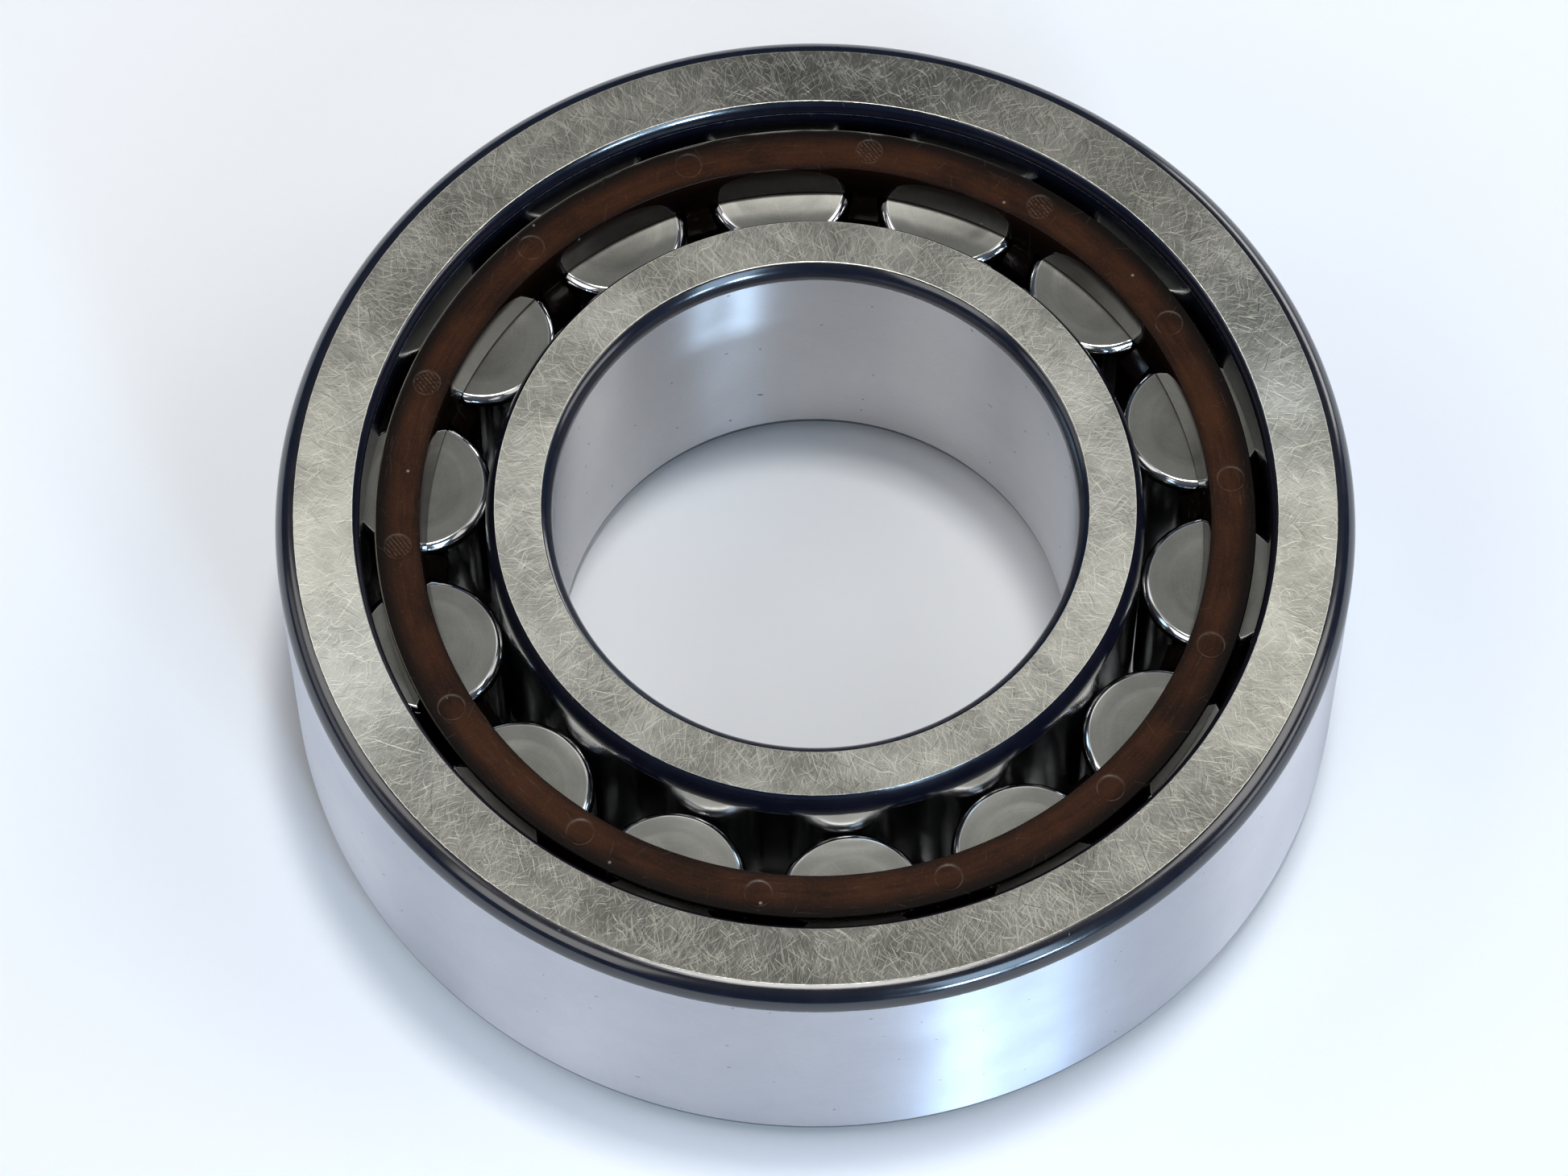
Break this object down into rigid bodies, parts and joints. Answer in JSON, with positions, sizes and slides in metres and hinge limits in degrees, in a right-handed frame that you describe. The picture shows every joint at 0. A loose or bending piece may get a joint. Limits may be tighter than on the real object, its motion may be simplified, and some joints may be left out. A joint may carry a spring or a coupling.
{
  "type": "cylindrical roller bearing",
  "caption": "Cylindrical roller bearing: flanged outer ring, plain inner ring and a moulded cage that spaces the rollers around a shaft bore.",
  "frame": {"origin": "centre of the bearing, on its axis at mid-width", "axes": "+Z along the bearing's axis, towards the face with the cage's ejector marks; +X through the axis of roller_01"},
  "size_m": [0.072, 0.072, 0.023],
  "materials": {
    "ring_steel": "ground faces with blackened rounded edges",
    "roller_steel": "satin ends, polished sides",
    "cage_polyamide": "moulded, slightly glossy"
  },
  "bodies": {
    "outer_ring": {"outer_ring": "ring_steel"},
    "inner_ring": {"inner_ring": "ring_steel"},
    "cage": {"cage": "cage_polyamide"},
    "roller_01": {"roller_01": "roller_steel"},
    "roller_02": {"roller_02": "roller_steel"},
    "roller_03": {"roller_03": "roller_steel"},
    "roller_04": {"roller_04": "roller_steel"},
    "roller_05": {"roller_05": "roller_steel"},
    "roller_06": {"roller_06": "roller_steel"},
    "roller_07": {"roller_07": "roller_steel"},
    "roller_08": {"roller_08": "roller_steel"},
    "roller_09": {"roller_09": "roller_steel"},
    "roller_10": {"roller_10": "roller_steel"},
    "roller_11": {"roller_11": "roller_steel"},
    "roller_12": {"roller_12": "roller_steel"},
    "roller_13": {"roller_13": "roller_steel"},
    "roller_14": {"roller_14": "roller_steel"}
  },
  "joints": [
    {"name": "inner_spin", "type": "hinge", "parent": "outer_ring", "child": "inner_ring", "pos_m": [0, 0, 0], "axis": [0, 0, 1], "continuous": true},
    {"name": "cage_spin", "type": "hinge", "parent": "outer_ring", "child": "cage", "pos_m": [0, 0, 0], "axis": [0, 0, 1], "continuous": true},
    {"name": "roller_01_spin", "type": "hinge", "parent": "cage", "child": "roller_01", "pos_m": [0.02703, 0, 0], "axis": [0, 0, 1], "continuous": true},
    {"name": "roller_02_spin", "type": "hinge", "parent": "cage", "child": "roller_02", "pos_m": [0.02435, 0.01173, 0], "axis": [0, 0, 1], "continuous": true},
    {"name": "roller_03_spin", "type": "hinge", "parent": "cage", "child": "roller_03", "pos_m": [0.01685, 0.02113, 0], "axis": [0, 0, 1], "continuous": true},
    {"name": "roller_04_spin", "type": "hinge", "parent": "cage", "child": "roller_04", "pos_m": [0.00601, 0.02635, 0], "axis": [0, 0, 1], "continuous": true},
    {"name": "roller_05_spin", "type": "hinge", "parent": "cage", "child": "roller_05", "pos_m": [-0.00601, 0.02635, 0], "axis": [0, 0, 1], "continuous": true},
    {"name": "roller_06_spin", "type": "hinge", "parent": "cage", "child": "roller_06", "pos_m": [-0.01685, 0.02113, 0], "axis": [0, 0, 1], "continuous": true},
    {"name": "roller_07_spin", "type": "hinge", "parent": "cage", "child": "roller_07", "pos_m": [-0.02435, 0.01173, 0], "axis": [0, 0, 1], "continuous": true},
    {"name": "roller_08_spin", "type": "hinge", "parent": "cage", "child": "roller_08", "pos_m": [-0.02703, 0, 0], "axis": [0, 0, 1], "continuous": true},
    {"name": "roller_09_spin", "type": "hinge", "parent": "cage", "child": "roller_09", "pos_m": [-0.02435, -0.01173, 0], "axis": [0, 0, 1], "continuous": true},
    {"name": "roller_10_spin", "type": "hinge", "parent": "cage", "child": "roller_10", "pos_m": [-0.01685, -0.02113, 0], "axis": [0, 0, 1], "continuous": true},
    {"name": "roller_11_spin", "type": "hinge", "parent": "cage", "child": "roller_11", "pos_m": [-0.00601, -0.02635, 0], "axis": [0, 0, 1], "continuous": true},
    {"name": "roller_12_spin", "type": "hinge", "parent": "cage", "child": "roller_12", "pos_m": [0.00601, -0.02635, 0], "axis": [0, 0, 1], "continuous": true},
    {"name": "roller_13_spin", "type": "hinge", "parent": "cage", "child": "roller_13", "pos_m": [0.01685, -0.02113, 0], "axis": [0, 0, 1], "continuous": true},
    {"name": "roller_14_spin", "type": "hinge", "parent": "cage", "child": "roller_14", "pos_m": [0.02435, -0.01173, 0], "axis": [0, 0, 1], "continuous": true}
  ],
  "couplings": [
    {"joint": "cage_spin", "follows": "inner_spin", "ratio": 0.40741},
    {"joint": "roller_01_spin", "follows": "inner_spin", "ratio": -2.6074},
    {"joint": "roller_02_spin", "follows": "inner_spin", "ratio": -2.6074},
    {"joint": "roller_03_spin", "follows": "inner_spin", "ratio": -2.6074},
    {"joint": "roller_04_spin", "follows": "inner_spin", "ratio": -2.6074},
    {"joint": "roller_05_spin", "follows": "inner_spin", "ratio": -2.6074},
    {"joint": "roller_06_spin", "follows": "inner_spin", "ratio": -2.6074},
    {"joint": "roller_07_spin", "follows": "inner_spin", "ratio": -2.6074},
    {"joint": "roller_08_spin", "follows": "inner_spin", "ratio": -2.6074},
    {"joint": "roller_09_spin", "follows": "inner_spin", "ratio": -2.6074},
    {"joint": "roller_10_spin", "follows": "inner_spin", "ratio": -2.6074},
    {"joint": "roller_11_spin", "follows": "inner_spin", "ratio": -2.6074},
    {"joint": "roller_12_spin", "follows": "inner_spin", "ratio": -2.6074},
    {"joint": "roller_13_spin", "follows": "inner_spin", "ratio": -2.6074},
    {"joint": "roller_14_spin", "follows": "inner_spin", "ratio": -2.6074}
  ]
}
